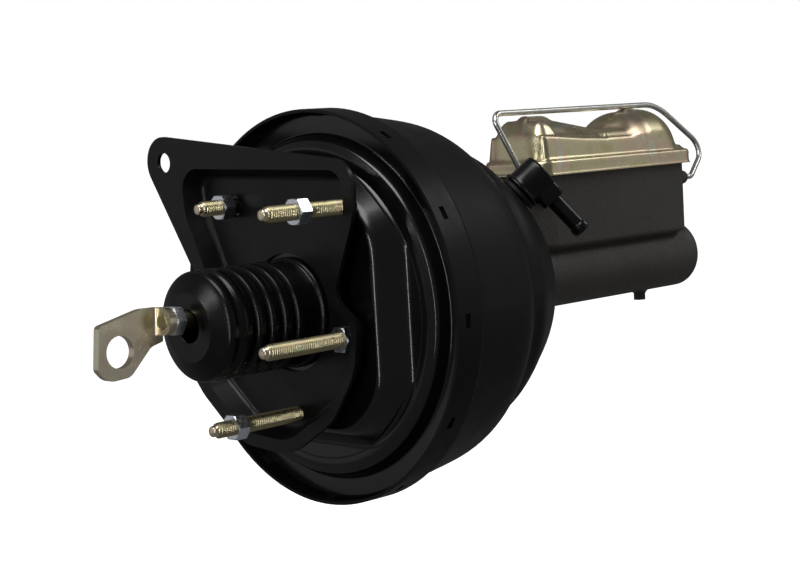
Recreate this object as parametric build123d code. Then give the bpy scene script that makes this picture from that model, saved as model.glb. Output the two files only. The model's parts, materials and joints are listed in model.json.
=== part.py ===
from build123d import *
from math import atan, cos, degrees, hypot, pi, radians, sin, sqrt, tan
import os

# Vacuum brake booster with its master cylinder, in millimetres.
# The booster axis is Y and +Y points to the master cylinder. +Z is up and +X is to the right.
# The origin is on the booster axis, in the face of the bracket that lies against the firewall.

# Fits and running gaps
running_gap = 0.08
free_gap = 0.3
seat_gap = 0.2
sheet = 1.6

# Firewall bracket
bracket_sheet = 2.6
pan_depth = 13.0
pan_wall_run = 5.0
pan_corner = 4.0
boot_hole_radius = 35.8
ear_x = -95.9
ear_z = 92.6
ear_hole_radius = 6.35
ear_radius = 16.5

# Firewall studs and their nuts
stud_radius = 4.76
stud_pitch_radius = 4.2
stud_dog_radius = 3.3
stud_dog_length = 3.0
stud_long = 66.5
stud_short = 28.8
short_stud_hole_radius = 7.0
nut_flats = 14.3
nut_height = 8.3
stud_places = [(58.3, 63.7, 39.0), (51.6, -13.1, 4.15), (2.3, -61.3, 48.0)]
short_stud_x = -45.6
short_stud_z = 64.2
short_stud_nut = 8.2

# Rear shell
shell_edge_y = 33.0
shell_radius = 121.0
band_sheet = 2.0
band_width = 19.4
shoulder_radius = 103.5
shoulder_width = 7.5
plateau_radius = shoulder_radius - shoulder_width
recess_depth = 10.0
pedestal_half_width = 72.5
pedestal_half_height = 71.0
pedestal_radius = 84.5
pedestal_run = 9.5
pedestal_corner = 28.0
pedestal_edge = 7.0
neck_radius = 27.5
neck_rear_y = 2.0
neck_seal_inset = 1.5
neck_seal_length = 8.0

# Master cylinder studs and the plate that they are headed in
stud_side = 38.0
stud_head_radius = 8.5
stud_head = 3.0
nose_radius = 20.0
plate_edge = 14.0
plate_radius = stud_side + plate_edge
plate_sheet = 3.0

# Front shell
shell_front_y = 188.0
face_edge = 8.0
front_face_radius = plate_radius + face_edge
bowl_depth = shell_radius - front_face_radius
bowl_steps = [
    (0.0492, 4.5), (0.0902, 20.6), (0.1443, 43.6), (0.1967, 56.6), (0.3279, 68.0), (0.4197, 75.6),
    (0.4328, 83.6), (0.4918, 93.0), (0.6721, 110.6), (0.8607, 127.0)]
tab_count = 12
tab_width = 8.0
tab_length = 4.0
tab_turn = 1.5

# Boot
boot_face_y = -63.3
boot_face_radius = 20.5
boot_band_radius = 33.0
boot_valley_radius = 28.3
boot_tail_radius = 30.5
boot_bead_radius = 33.4
boot_wall = 2.2
boot_hole = 8.0
boot_hole_z = 2.3
boot_ridges = 5
boot_pitch = 9.4
boot_bevel = 4.6
boot_band = 8.5

# Valve body, plunger and input rod
valve_radius = 19.0
valve_bore_radius = 14.5
valve_rear_y = -28.0
filter_hole_radius = 10.2
plunger_radius = 9.0
valve_flange_radius = 32.0
piston_y = 46.0
valve_front_y = 62.0
reaction_radius = 11.5
ball_y = 26.0
ball_radius = 5.5
rod_radius = 4.76
rod_neck_radius = 3.4
rod_tilt = 3.26
collar_radius = 10.3
collar_thick = 2.0
jam_nut_flats = 15.9
jam_nut_height = 6.1
jam_nut_gap = 7.2
link_sheet = 5.0
link_face_x = -6.0
link_end_radius = 7.8
link_step_x = -5.0
link_foot_z = -11.8
eye_radius = 9.25
eye_y = -106.3
eye_z = -15.75

# Diaphragm, plate, return spring and output rod
plate_space = 25.0
plate_outer_radius = shell_radius - plate_space
plate_lip = 11.0
roll_height = 19.0
roll_gap = 9.5
return_spring_radius = 27.2
return_spring_wire = 1.8
output_rod_radius = 6.0

# Master cylinder
flange_thick = 9.0
ear_end_radius = 10.0
flange_middle_radius = 28.0
barrel_radius = 24.5
barrel_front_y = 399.0
barrel_edge = 4.0
bore_radius = 12.7
bore_front_y = 392.0
nose_depth = 10.0
tank_half_width = 26.5
tank_rear_y = 224.0
tank_front_y = 386.0
tank_bottom_z = 18.3
tank_top_z = 74.0
tank_corner = 12.0
tank_wall = 4.0
tank_divider_y = 303.0
web_half_width = 17.0
port_y = (300.0, 383.0)
port_boss_radius = 10.5
port_boss_x = -36.0
port_thread_radius = 4.76
port_depth = 9.0
port_seat_radius = 4.36
port_seat_length = 2.4
port_seat_gap = 0.05
port_seat_drop = 0.4
stop_screw_y = 355.0
stop_screw_radius = 2.6

# Pistons
primary_rear_y = 185.3
primary_front_y = 262.0
secondary_rear_y = 312.0
secondary_front_y = 366.0
land_length = 9.0
waist_radius = 8.0
socket_radius = 6.6
socket_depth = 12.0
piston_spring_radius = 8.6
piston_spring_wire = 1.1

# Lid and its gasket
lid_sheet = 1.5
lid_reach = 3.0
lid_skirt_z = 68.0
gasket_thick = 2.2
rear_dome_y = (222.6, 293.0)
rear_dome_half = 24.0
rear_dome_corner = 6.0
ledge_z = 92.5
ledge_edge = 4.0
head_length = 30.0
head_z = 108.0
head_corner = 11.5
head_draft = 4.0
head_edge = 9.0
ridge_z = 107.0
ridge_foot_half = 16.0
ridge_half = 7.0
ridge_edge = 4.0
saddle_y = 306.0
saddle_z = 98.2
front_dome_y = (337.0, 358.0)
front_dome_half = 28.5
front_dome_z = 109.0
front_dome_draft = 8.0
front_dome_edge = 21.5
wire_pad_y = (246.0, 347.5)
wire_pad_width = 9.0
wire_pad_length = 8.0
wire_bed = 0.1

# Bail wire
wire_radius = 2.0
bail_x = 20.0
bail_z = 57.0
bail_top_x = 0.0
bail_top_z = 112.0
bail_pin_depth = 3.6
bail_nose_reach = 37.0
bail_nose_drop = 37.5
bail_boss_radius = 5.0
bail_boss_reach = 1.5

# Check valve
valve_step = (0.782, 121.1)
valve_stem = 9.0
valve_place_angle = 52.5
valve_lean = 34.8
grommet_radius = 12.5
grommet_hole_radius = 7.0
check_body_radius = 12.5
check_body_height = 24.0
nipple_height = 15.3
nipple_radius = 5.4
nipple_bore_radius = 3.2
nipple_reach = 46.3
nipple_root_reach = 18.9
nipple_root_width = 16.8
nipple_root_height = 17.2
bead_radius = 6.2
bead_length = 6.0
bead_chamfer = 1.2

os.makedirs("parts", exist_ok=True)


def save(name, shape):
    export_step(shape, f"parts/{name}.step")


def turned(points):
    """A solid of revolution about the booster axis from (radius, y) points."""
    kept = [p for i, p in enumerate(points) if hypot(p[0] - points[i - 1][0], p[1] - points[i - 1][1]) > 1e-4]
    return revolve(Plane.XY * make_face(Polyline(*kept, close=True)), Axis.Y)


def ring(inner, outer, y0, y1):
    return turned([(inner, y0), (outer, y0), (outer, y1), (inner, y1)])


def rod_y(radius, y0, y1, x=0.0, z=0.0):
    middle = (y0 + y1) / 2
    return Pos(x, middle, z) * Rot(90, 0, 0) * Cylinder(radius, abs(y1 - y0))


def slab(sketch, y0, y1, taper=0.0):
    """Extrude an (x, z) sketch from y0 to y1; a positive taper narrows it on the way."""
    plane = Plane(origin=(0, y0, 0), x_dir=(1, 0, 0), z_dir=(0, -1, 0))
    return extrude(plane * sketch, amount=y0 - y1, taper=taper)


def outline(corners):
    """A closed face from (x, z, corner radius) points."""
    points = [(x, z) for x, z, r in corners]
    radii = [r for x, z, r in corners]
    return make_face(FilletPolyline(*points, radius=radii, close=True))


def hex_nut(flats, height, bore, y0):
    """A hexagon nut on the Y axis, chamfered at both faces, from y0 to y0 + height."""
    corner = flats / sqrt(3)
    blank = slab(RegularPolygon(corner, 6), y0, y0 + height)
    edge = (corner - flats / 2) * 0.9
    cone = turned([
        (0, y0), (corner - edge, y0), (corner, y0 + edge / 2),
        (corner, y0 + height - edge / 2), (corner - edge, y0 + height), (0, y0 + height)])
    return blank & cone - rod_y(bore, y0 - 1, y0 + height + 1)


def stud(tip_y, root_y, nut_y):
    """A weld stud: dog point, free end, nut zone and shank down to its root."""
    dog_y = tip_y + stud_dog_length
    chamfer = stud_radius - stud_dog_radius
    return turned([
        (0, tip_y), (stud_dog_radius - 0.8, tip_y), (stud_dog_radius, tip_y + 0.8),
        (stud_dog_radius, dog_y), (stud_radius, dog_y + chamfer),
        (stud_radius, nut_y), (stud_pitch_radius, nut_y),
        (stud_pitch_radius, nut_y + nut_height), (stud_radius, nut_y + nut_height),
        (stud_radius, root_y), (0, root_y)])


def coil(radius, wire, y0, y1, turns):
    """A helical spring along Y, resting on its seats at y0 and y1."""
    height = y1 - y0 - 2 * wire
    path = Helix(pitch=height / turns, height=height, radius=radius)
    profile = Plane(origin=path @ 0, z_dir=path % 0) * Circle(wire)
    return Pos(0, y0 + wire, 0) * Rot(-90, 0, 0) * sweep(profile, path=path, is_frenet=True)


def inset(points, depth):
    """Points moved square to their line, towards the inside of a shell."""
    moved = []
    for i, (r, y) in enumerate(points):
        r0, y0 = points[max(i - 1, 0)]
        r1, y1 = points[min(i + 1, len(points) - 1)]
        length = hypot(r1 - r0, y1 - y0)
        moved.append((r - depth * (y1 - y0) / length, y + depth * (r1 - r0) / length))
    return moved


# Firewall bracket: a pressed pan whose rim lies against the firewall.
floor_y = pan_depth
floor_back_y = pan_depth + bracket_sheet
rim_line = outline([
    (-128.7, 112.5, ear_radius), (75.5, 90.2, 15), (74.0, 58.0, 24), (54.0, 11.5, 12),
    (73.5, 0.0, 13), (68.0, -31.0, 40), (48.0, -60.0, 40), (8.0, -84.5, 40),
    (-38.0, -80.5, 40), (-71.0, -53.0, 40), (-90.0, -30.0, 14), (-58.5, 2.0, 14)])
pocket_line = outline([
    (-80.0, 88.6, 14), (68.0, 85.0, 12), (66.5, 57.0, 22), (46.5, 11.0, 16),
    (68.4, -3.0, 12), (63.4, -31.0, 34), (42.0, -55.5, 34), (6.0, -76.0, 34),
    (-33.0, -73.0, 34), (-62.0, -49.0, 34), (-76.0, -29.0, 12), (-51.0, 3.0, 14), (-77.5, 60.0, 24)])
pan_taper = degrees(atan(pan_wall_run / pan_depth))
pan_hollow = slab(pocket_line, 0, pan_depth, pan_taper)
pan_hollow = fillet(pan_hollow.edges().group_by(Axis.Y)[-1], pan_corner)
pan_skin = slab(offset(pocket_line, bracket_sheet), 0, floor_back_y, pan_taper)
pan_skin = fillet(pan_skin.edges().group_by(Axis.Y)[-1], pan_corner + bracket_sheet)
bracket = slab(rim_line, 0, bracket_sheet) + pan_skin - pan_hollow
bracket -= rod_y(boot_hole_radius, -1, floor_back_y + 1)
bracket -= rod_y(ear_hole_radius, -1, bracket_sheet + 1, ear_x, ear_z)
for x, z, nut_at in stud_places:
    bracket -= rod_y(stud_radius, floor_y - pan_corner, floor_back_y + 1, x, z)
bracket -= rod_y(short_stud_hole_radius, 0, floor_back_y + 1, short_stud_x, short_stud_z)
save("firewall_bracket", bracket)

# Rear shell: a pressed dish with a raised pedestal, a neck for the boot and a flat flange.
flange_y = shell_edge_y + recess_depth
shell_inner_radius = shell_radius - band_sheet
rear_profile = [
    (0, floor_back_y), (plateau_radius - 20, shell_edge_y), (plateau_radius, shell_edge_y),
    (plateau_radius + 4.2, shell_edge_y + 1.6), (shoulder_radius - 1, shell_edge_y + 5),
    (shoulder_radius + 1.5, flange_y - 1), (shoulder_radius + 4, flange_y)]


def dish(depth):
    """The space in front of the rear face of the rear shell, moved forward by depth."""
    base_y = shell_edge_y + depth
    shoulder = shoulder_radius - depth
    body = turned([
        (0, base_y), (plateau_radius - depth / 2, base_y), (plateau_radius + 4.2 - depth, base_y + 1.4),
        (shoulder, base_y + 5), (shoulder + 0.6, flange_y + sheet + 4), (0, flange_y + sheet + 4)])
    flat = Rectangle(2 * (pedestal_half_width - depth), 2 * (pedestal_half_height - depth))
    flat = flat & Circle(pedestal_radius - depth)
    flat = fillet(flat.vertices(), pedestal_corner - depth)
    rise = shell_edge_y - floor_back_y
    slope = degrees(atan(pedestal_run / rise))
    pedestal = slab(flat, floor_back_y + depth, base_y + 1, -slope)
    return body + fillet(pedestal.edges().group_by(Axis.Y)[0], pedestal_edge - depth)


rear_skin = dish(0) - turned([(0, flange_y), (shell_radius, flange_y), (shell_radius, 70), (0, 70)])
rear_skin += ring(shoulder_radius - 3, shell_inner_radius - seat_gap, flange_y, flange_y + sheet)
rear_shell = rear_skin - dish(sheet)
rear_shell -= ring(0, shoulder_radius - sheet + 0.6, flange_y - 0.5, flange_y + sheet + 1)
neck = ring(neck_radius - sheet, neck_radius, neck_rear_y, floor_back_y + sheet)
neck_lip = ring(neck_radius - sheet, neck_radius + 1.2, neck_rear_y, neck_rear_y + 2)
rear_shell = rear_shell - rod_y(neck_radius - sheet, 0, floor_back_y + 8) + neck + neck_lip
all_studs = [(x, z, stud_long, nut_at) for x, z, nut_at in stud_places]
all_studs.append((short_stud_x, short_stud_z, stud_short, short_stud_nut))
save("rear_shell", rear_shell)

# Studs welded into the bracket, the short one to the pedestal behind it, and a nut on each.
studs = Compound(children=[
    Pos(x, 0, z) * stud(floor_y - length, floor_back_y, floor_y - nut_at - nut_height / 2)
    for x, z, length, nut_at in all_studs])
save("firewall_studs", studs)
nuts = Compound(children=[
    Pos(x, 0, z) * hex_nut(nut_flats, nut_height, stud_pitch_radius, floor_y - nut_at - nut_height / 2)
    for x, z, length, nut_at in all_studs])
save("firewall_nuts", nuts)

# Front shell: a deep bowl, crimped round the rear shell with lanced tabs.
band_front_y = shell_edge_y + band_width


def on_bowl(step):
    """A (radius, y) point from its share of the bowl's depth and its distance from the band."""
    share, forward = step
    return shell_radius - share * bowl_depth, band_front_y + forward


bowl = [on_bowl(step) for step in bowl_steps]
bowl.append((front_face_radius, shell_front_y - 0.6))


def bowl_face(points, front_y, band_radius, ledge):
    """Half section of everything inside one skin of the front shell."""
    first, last = points[0], points[-1]
    curve = Spline(*points, tangents=((-0.15, 1.0), (-0.75, 0.65)))
    edge = (last[0] - 3.5, front_y)
    lines = [
        Line((0, shell_edge_y), (band_radius, shell_edge_y)),
        Line((band_radius, shell_edge_y), (band_radius, band_front_y - ledge)),
        Line((band_radius, band_front_y - ledge), first), curve,
        Line(last, edge), Line(edge, (0, front_y)), Line((0, front_y), (0, shell_edge_y))]
    return make_face(lines)


bowl_outside = revolve(bowl_face(bowl, shell_front_y, shell_radius, 0), Axis.Y)
bowl_inside = revolve(
    bowl_face(inset(bowl, band_sheet), shell_front_y - band_sheet, shell_inner_radius, band_sheet), Axis.Y)
front_shell = bowl_outside - bowl_inside
front_shell -= rod_y(nose_radius + seat_gap, shell_front_y - 5, shell_front_y + 5)
for side in (-1, 1):
    front_shell -= rod_y(stud_radius, shell_front_y - 5, shell_front_y + 5, side * stud_side, 0)
tab_y = flange_y - seat_gap
for i in range(tab_count):
    turn = Rot(0, i * 360 / tab_count + tab_turn, 0)
    slot = Pos(shell_radius, tab_y - tab_length / 2, 0) * Box(3 * band_sheet, tab_length, tab_width)
    front_shell -= turn * slot
    tongue_line = make_face(Polyline(
        (shell_inner_radius, tab_y - tab_length), (shell_radius, tab_y - tab_length),
        (shell_inner_radius - 0.6, tab_y), (shell_inner_radius - 0.6 - band_sheet, tab_y), close=True))
    tongue = Pos(0, 0, -tab_width / 2) * extrude(tongue_line, amount=tab_width)
    front_shell += turn * tongue

# Check valve seat in the front shell, square to the bowl.
place = radians(valve_place_angle)
lean = radians(valve_lean)
valve_place_radius, valve_place_y = on_bowl(valve_step)
valve_origin = Vector(
    valve_place_radius * cos(place), valve_place_y, valve_place_radius * sin(place))
valve_axis = Vector(cos(lean) * cos(place), sin(lean), cos(lean) * sin(place))
nipple_axis = Vector(0.44, 0.40, -0.80)
nipple_axis = (nipple_axis - valve_axis * nipple_axis.dot(valve_axis)).normalized()
valve_plane = Plane(origin=valve_origin, x_dir=nipple_axis, z_dir=valve_axis)


def on_valve(shape, height=0.0):
    return valve_plane * Pos(0, 0, height) * shape


front_shell -= on_valve(Cylinder(grommet_hole_radius + 2.5, 20))
save("front_shell", front_shell)

lip = 2.4
grommet = Cylinder(grommet_radius, lip, align=(Align.CENTER, Align.CENTER, Align.MIN))
grommet = Pos(0, 0, 0.8) * grommet
grommet += Pos(0, 0, -band_sheet - 2.8) * Cylinder(
    grommet_hole_radius + 2.5 - 0.1, band_sheet + 2.8 + 0.8, align=(Align.CENTER, Align.CENTER, Align.MIN))
grommet += Pos(0, 0, -band_sheet - 4.8) * Cylinder(
    grommet_hole_radius + 4.0, 2.2, align=(Align.CENTER, Align.CENTER, Align.MIN))
grommet -= Cylinder(grommet_hole_radius, 40)
save("check_valve_grommet", on_valve(grommet))

stem_foot = -band_sheet - valve_stem
body_foot = 0.8 + lip + free_gap
up = (Align.CENTER, Align.CENTER, Align.MIN)
check = Pos(0, 0, stem_foot) * Cylinder(grommet_hole_radius - running_gap, body_foot - stem_foot, align=up)
barrel = Pos(0, 0, body_foot) * Cylinder(check_body_radius, check_body_height - body_foot, align=up)
check += fillet(barrel.edges().group_by(Axis.Z)[-1], 2.5)
check += Pos(0, 0, body_foot) * Cylinder(check_body_radius + 1.6, 2.4, align=up)
arm = Pos(0, 0, nipple_height) * Rot(0, 90, 0)
check += arm * Box(nipple_root_height, nipple_root_width, nipple_root_reach, align=up)
check += arm * Cylinder(nipple_radius, nipple_reach - 1, align=up)
bead = Cylinder(bead_radius, bead_length, align=up)
bead = chamfer(bead.edges().group_by(Axis.Z)[-1], bead_chamfer)
check += arm * Pos(0, 0, nipple_reach - bead_length) * bead
check -= arm * Cylinder(nipple_bore_radius, nipple_reach + 5, align=up)
check -= Pos(0, 0, stem_foot - 1) * Cylinder(nipple_bore_radius, nipple_height - stem_foot + 1, align=up)
save("check_valve", on_valve(check))

# Reinforcement plate inside the front shell, and the two studs that carry the master cylinder.
plate_front_y = shell_front_y - band_sheet
plate_rear_y = plate_front_y - plate_sheet
plate = ring(nose_radius + seat_gap, plate_radius, plate_rear_y, plate_front_y)
for side in (-1, 1):
    plate -= rod_y(stud_radius, plate_rear_y - 1, plate_front_y + 1, side * stud_side, 0)
save("reinforcement_plate", plate)
flange_front_y = shell_front_y + flange_thick
mc_tip_y = flange_front_y + nut_height + 4.5
mc_stud = turned([
    (0, plate_rear_y - stud_head), (stud_head_radius, plate_rear_y - stud_head),
    (stud_head_radius, plate_rear_y), (stud_radius, plate_rear_y), (stud_radius, flange_front_y),
    (stud_pitch_radius, flange_front_y), (stud_pitch_radius, flange_front_y + nut_height),
    (stud_radius, flange_front_y + nut_height), (stud_radius, mc_tip_y - 1), (stud_radius - 1, mc_tip_y),
    (0, mc_tip_y)])
save("cylinder_studs", Compound(children=[Pos(side * stud_side, 0, 0) * mc_stud for side in (-1, 1)]))
mc_nut = hex_nut(nut_flats, nut_height, stud_pitch_radius, flange_front_y)
save("cylinder_nuts", Compound(children=[Pos(side * stud_side, 0, 0) * mc_nut for side in (-1, 1)]))

# Boot: a face, a bevel, a smooth band, ridges and a tail that grips the neck.
bevel_y = boot_face_y + boot_bevel
band_y = bevel_y + boot_band
boot_outside = [(0, boot_face_y), (boot_face_radius, boot_face_y), (boot_band_radius - 0.8, bevel_y)]
boot_outside += [(boot_band_radius, bevel_y + 1.5), (boot_band_radius, band_y)]
ridge_depth = boot_band_radius - boot_valley_radius
for i in range(boot_ridges):
    start = band_y + i * boot_pitch
    boot_outside += [
        (boot_valley_radius, start + boot_pitch * 0.30), (boot_valley_radius, start + boot_pitch * 0.44),
        (boot_band_radius - 0.7, start + boot_pitch * 0.80), (boot_band_radius - 0.7, start + boot_pitch)]
tail_y = band_y + boot_ridges * boot_pitch + 2.5
boot_end_y = floor_y + 1.5
boot_outside += [
    (boot_tail_radius, tail_y), (boot_tail_radius, boot_end_y - 3.4), (boot_bead_radius, boot_end_y - 2.8),
    (boot_bead_radius, boot_end_y)]
boot_inside = [(neck_radius + 0.1, boot_end_y), (neck_radius + 0.1, neck_rear_y + 2.1)]
boot_inside += [(neck_radius + 1.3, neck_rear_y + 2.1), (neck_radius + 1.3, neck_rear_y - 0.2)]
boot_inside += [(boot_tail_radius - boot_wall, neck_rear_y - 2), (boot_tail_radius - boot_wall, tail_y + 1.5)]
for i in reversed(range(boot_ridges)):
    start = band_y + i * boot_pitch
    boot_inside += [
        (boot_band_radius - 0.7 - boot_wall, start + boot_pitch * 0.98),
        (boot_band_radius - 0.7 - boot_wall, start + boot_pitch * 0.82),
        (boot_valley_radius - boot_wall, start + boot_pitch * 0.46),
        (boot_valley_radius - boot_wall, start + boot_pitch * 0.28)]
boot_inside += [
    (boot_band_radius - boot_wall, band_y - 0.2), (boot_band_radius - boot_wall, bevel_y + 2.4),
    (boot_face_radius - 1.0, boot_face_y + boot_wall), (0, boot_face_y + boot_wall)]
boot = turned(boot_outside + boot_inside) - rod_y(
    boot_hole, boot_face_y - 1, boot_face_y + boot_wall + 1, 0, boot_hole_z)
save("boot", boot)

# Bushing and seal in the neck, where the valve body slides.
neck_inner = neck_radius - sheet
seal_rear_y = neck_rear_y + neck_seal_inset
bushing_y = seal_rear_y + neck_seal_length
save("neck_seal", ring(valve_radius + running_gap, neck_inner, seal_rear_y, bushing_y))
bushing_front_y = floor_back_y + sheet
save("neck_bushing", ring(valve_radius + running_gap, neck_inner, bushing_y, bushing_front_y))

# Valve body: a hollow hub with the flange that carries the diaphragm and its plate.
diaphragm_sheet = 1.5
hub_flange_y = piston_y - diaphragm_sheet
reaction_y = piston_y + 0.5
valve_body = turned([
    (valve_bore_radius, valve_rear_y), (valve_radius, valve_rear_y), (valve_radius, hub_flange_y - 4),
    (valve_flange_radius, hub_flange_y - 4), (valve_flange_radius, hub_flange_y),
    (valve_radius + 5, hub_flange_y), (valve_radius + 5, valve_front_y),
    (reaction_radius, valve_front_y), (reaction_radius, reaction_y), (plunger_radius, reaction_y),
    (plunger_radius, ball_y - 8), (valve_bore_radius, ball_y - 8)])
save("valve_body", valve_body)
plate_front = piston_y + sheet
diaphragm_plate = turned([
    (valve_radius + 5, piston_y), (plate_outer_radius, piston_y), (plate_outer_radius, piston_y + plate_lip),
    (plate_outer_radius - sheet, piston_y + plate_lip), (plate_outer_radius - sheet, plate_front),
    (valve_radius + 5, plate_front)])
save("diaphragm_plate", diaphragm_plate)

# Diaphragm: flat behind the plate, rolled over its edge, with a bead in the crimp.
bead_rear_y = flange_y + sheet
bead_front_y = band_front_y - band_sheet - 0.6
roll_in = plate_outer_radius + 0.1
roll_out = roll_in + roll_gap + diaphragm_sheet
roll_y = piston_y + roll_height
diaphragm = turned([
    (valve_radius + 5.1, hub_flange_y), (roll_in + diaphragm_sheet, hub_flange_y),
    (roll_in + diaphragm_sheet, roll_y), (roll_in + diaphragm_sheet + 1.5, roll_y + 2),
    (roll_out - 1.5, roll_y + 2), (roll_out, roll_y), (roll_out, bead_rear_y),
    (shell_inner_radius - 0.3, bead_rear_y), (shell_inner_radius - 0.3, bead_front_y),
    (roll_out + diaphragm_sheet, bead_front_y), (roll_out + diaphragm_sheet, roll_y + 1),
    (roll_out - 0.5, roll_y + 2 + diaphragm_sheet), (roll_in + 1.5, roll_y + 2 + diaphragm_sheet),
    (roll_in, roll_y + 1), (roll_in, piston_y), (valve_radius + 5.1, piston_y)])
save("diaphragm", diaphragm)

# Valve parts inside the valve body.
save("air_filter", ring(filter_hole_radius, valve_bore_radius - 0.1, valve_rear_y + 2, valve_rear_y + 14))
save("filter_retainer", ring(filter_hole_radius + 0.8, valve_bore_radius, valve_rear_y, valve_rear_y + 1.6))
seat_y = ball_y - 10.0
poppet = turned([
    (8.5, 0), (valve_bore_radius, 0), (valve_bore_radius, 3), (13.2, 3), (13.2, seat_y - free_gap),
    (8.5, seat_y - free_gap), (8.5, seat_y - 2.2), (11.6, seat_y - 2.2), (11.6, 2), (8.5, 2)])
save("poppet_valve", poppet)
save("poppet_spring", coil(10.2, 0.5, 2.0, seat_y - 2.2, 4))
plunger = turned([
    (0, ball_y + 6), (0, reaction_y - 2), (7.0, reaction_y - 2), (7.0, ball_y + 10),
    (plunger_radius - running_gap, ball_y + 10), (plunger_radius - running_gap, seat_y),
    (ball_radius + running_gap, seat_y), (ball_radius + running_gap, ball_y + 6)])
save("valve_plunger", plunger)
rod_head_y = reaction_y + 8.0
save("reaction_disc", rod_y(reaction_radius - 0.2, reaction_y + 0.1, rod_head_y))
output_tip_y = primary_rear_y + socket_depth - free_gap
screw_y = output_tip_y - 14.0
output_rod = turned([
    (0, rod_head_y), (reaction_radius - 0.2, rod_head_y), (reaction_radius - 0.2, rod_head_y + 4),
    (output_rod_radius, rod_head_y + 6), (output_rod_radius, screw_y), (0, screw_y)])
save("output_rod", output_rod)
save("output_rod_screw", turned([
    (0, screw_y), (5.0, screw_y), (5.0, screw_y + 4), (4.0, screw_y + 4), (4.0, output_tip_y - 2),
    (2.5, output_tip_y), (0, output_tip_y)]))
save("rod_retainer", ring(output_rod_radius + 0.4, valve_radius + 4, valve_front_y, valve_front_y + 1.2))
save("return_spring", coil(
    return_spring_radius, return_spring_wire, plate_front + 0.1, plate_rear_y - 0.1, 5))

# Input rod: a ball at the plunger, a threaded end, a jam nut and the bent pedal link.
tilt = Pos(0, ball_y, 0) * Rot(-rod_tilt, 0, 0) * Pos(0, -ball_y, 0)
nut_rear_y = boot_face_y - jam_nut_gap - jam_nut_height
link_rear_y = nut_rear_y - link_sheet
rod_end_y = link_rear_y - 0.6
step_y = ball_y - 17
collar_y = -9.5
input_rod = turned([
    (0, rod_end_y), (rod_radius - 1, rod_end_y), (rod_radius, link_rear_y),
    (rod_radius, collar_y - collar_thick), (collar_radius, collar_y - collar_thick),
    (collar_radius, collar_y), (rod_radius, collar_y), (rod_radius, step_y), (rod_neck_radius, step_y + 1.5),
    (rod_neck_radius, ball_y), (0, ball_y)])
input_rod += Pos(0, ball_y, 0) * Sphere(ball_radius)
save("input_rod", tilt * input_rod)
save("input_jam_nut", tilt * hex_nut(jam_nut_flats, jam_nut_height, rod_radius, nut_rear_y))
link_back_x = link_face_x - link_sheet
link_line = [
    (-120.2, -0.8, 3.0), (-91.6, 7.4, 25.0), (nut_rear_y, link_end_radius, 1.0), (nut_rear_y, link_foot_z, 1.0),
    (-84.9, -14.3, 8.0), (-99.4, -30.3, 8.0), (-114.6, -32.2, 10.0), (-121.4, -25.4, 4.0)]
link_face = outline(link_line)
link_plate = extrude(Plane.YZ * link_face, amount=link_sheet)
link_plate = Pos(link_back_x, 0, 0) * link_plate
flange_line = make_face(Polyline(
    (link_back_x, link_end_radius), (0, link_end_radius), (0, -link_end_radius), (link_step_x, -link_end_radius),
    (link_step_x - 4.0, link_foot_z), (link_back_x, link_foot_z), close=True)) + Circle(link_end_radius)
flange_block = slab(flange_line, link_rear_y, nut_rear_y)
bend = Pos(link_back_x, nut_rear_y, -20) * Box(
    2 * link_sheet, 2 * link_sheet, 40, align=(Align.CENTER, Align.CENTER, Align.MIN))
bend -= Pos(link_back_x + link_sheet, nut_rear_y - link_sheet, -20) * Cylinder(
    link_sheet, 40, align=(Align.CENTER, Align.CENTER, Align.MIN))
pedal_link = link_plate + flange_block - bend
inner = Pos(link_face_x, link_rear_y, -link_end_radius) * Box(
    2.5, 2.5, 2 * link_end_radius, align=(Align.MIN, Align.MAX, Align.MIN))
inner -= Pos(link_face_x + 2.5, link_rear_y - 2.5, -20) * Cylinder(2.5, 40, align=up)
pedal_link += inner
pedal_link -= rod_y(rod_radius, link_rear_y - 9, nut_rear_y + 1)
eye = Pos(link_back_x - 1, eye_y, eye_z) * Rot(0, 90, 0) * Cylinder(eye_radius, link_sheet + 2, align=up)
pedal_link -= eye
save("pedal_link", tilt * pedal_link)
save("input_spring", tilt * coil(collar_radius - 0.7, 0.6, collar_y + 0.05, -0.8, 4))

# Master cylinder casting: flange, nose, barrel, web, tank and ports.
nose_y = shell_front_y - nose_depth
mc_flange = slab(Circle(flange_middle_radius), shell_front_y, flange_front_y)
for side in (-1, 1):
    pad = Pos(side * stud_side, 0) * Circle(ear_end_radius)
    mc_flange += slab(make_hull((pad + Circle(flange_middle_radius - 6)).edges()), shell_front_y, flange_front_y)
barrel_blank = turned([
    (0, shell_front_y), (barrel_radius + 2.5, shell_front_y), (barrel_radius + 2.5, flange_front_y + 3),
    (barrel_radius, flange_front_y + 12), (barrel_radius, barrel_front_y - barrel_edge),
    (barrel_radius - barrel_edge * 0.3, barrel_front_y - barrel_edge * 0.3),
    (barrel_radius - barrel_edge, barrel_front_y), (0, barrel_front_y)])
tank_length = tank_front_y - tank_rear_y
tank_mid_y = (tank_front_y + tank_rear_y) / 2
tank_plan = RectangleRounded(2 * tank_half_width, tank_length, tank_corner)
tank = Pos(0, tank_mid_y, tank_bottom_z) * extrude(tank_plan, amount=tank_top_z - tank_bottom_z)
tank = fillet(tank.edges().group_by(Axis.Z)[0], 2.5)
web = Pos(0, tank_mid_y, 0) * Box(2 * web_half_width, tank_length - 12, tank_bottom_z + 2, align=up)
body = rod_y(nose_radius, nose_y, shell_front_y) + mc_flange + barrel_blank + web + tank
for y0, y1 in ((tank_rear_y + tank_wall, tank_divider_y - 2), (tank_divider_y + 2, tank_front_y - tank_wall)):
    hollow = RectangleRounded(2 * (tank_half_width - tank_wall), y1 - y0, tank_corner - tank_wall)
    depth = tank_top_z - barrel_radius - 3.5
    body -= Pos(0, (y0 + y1) / 2, tank_top_z - depth) * extrude(hollow, amount=depth + 1)
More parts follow.
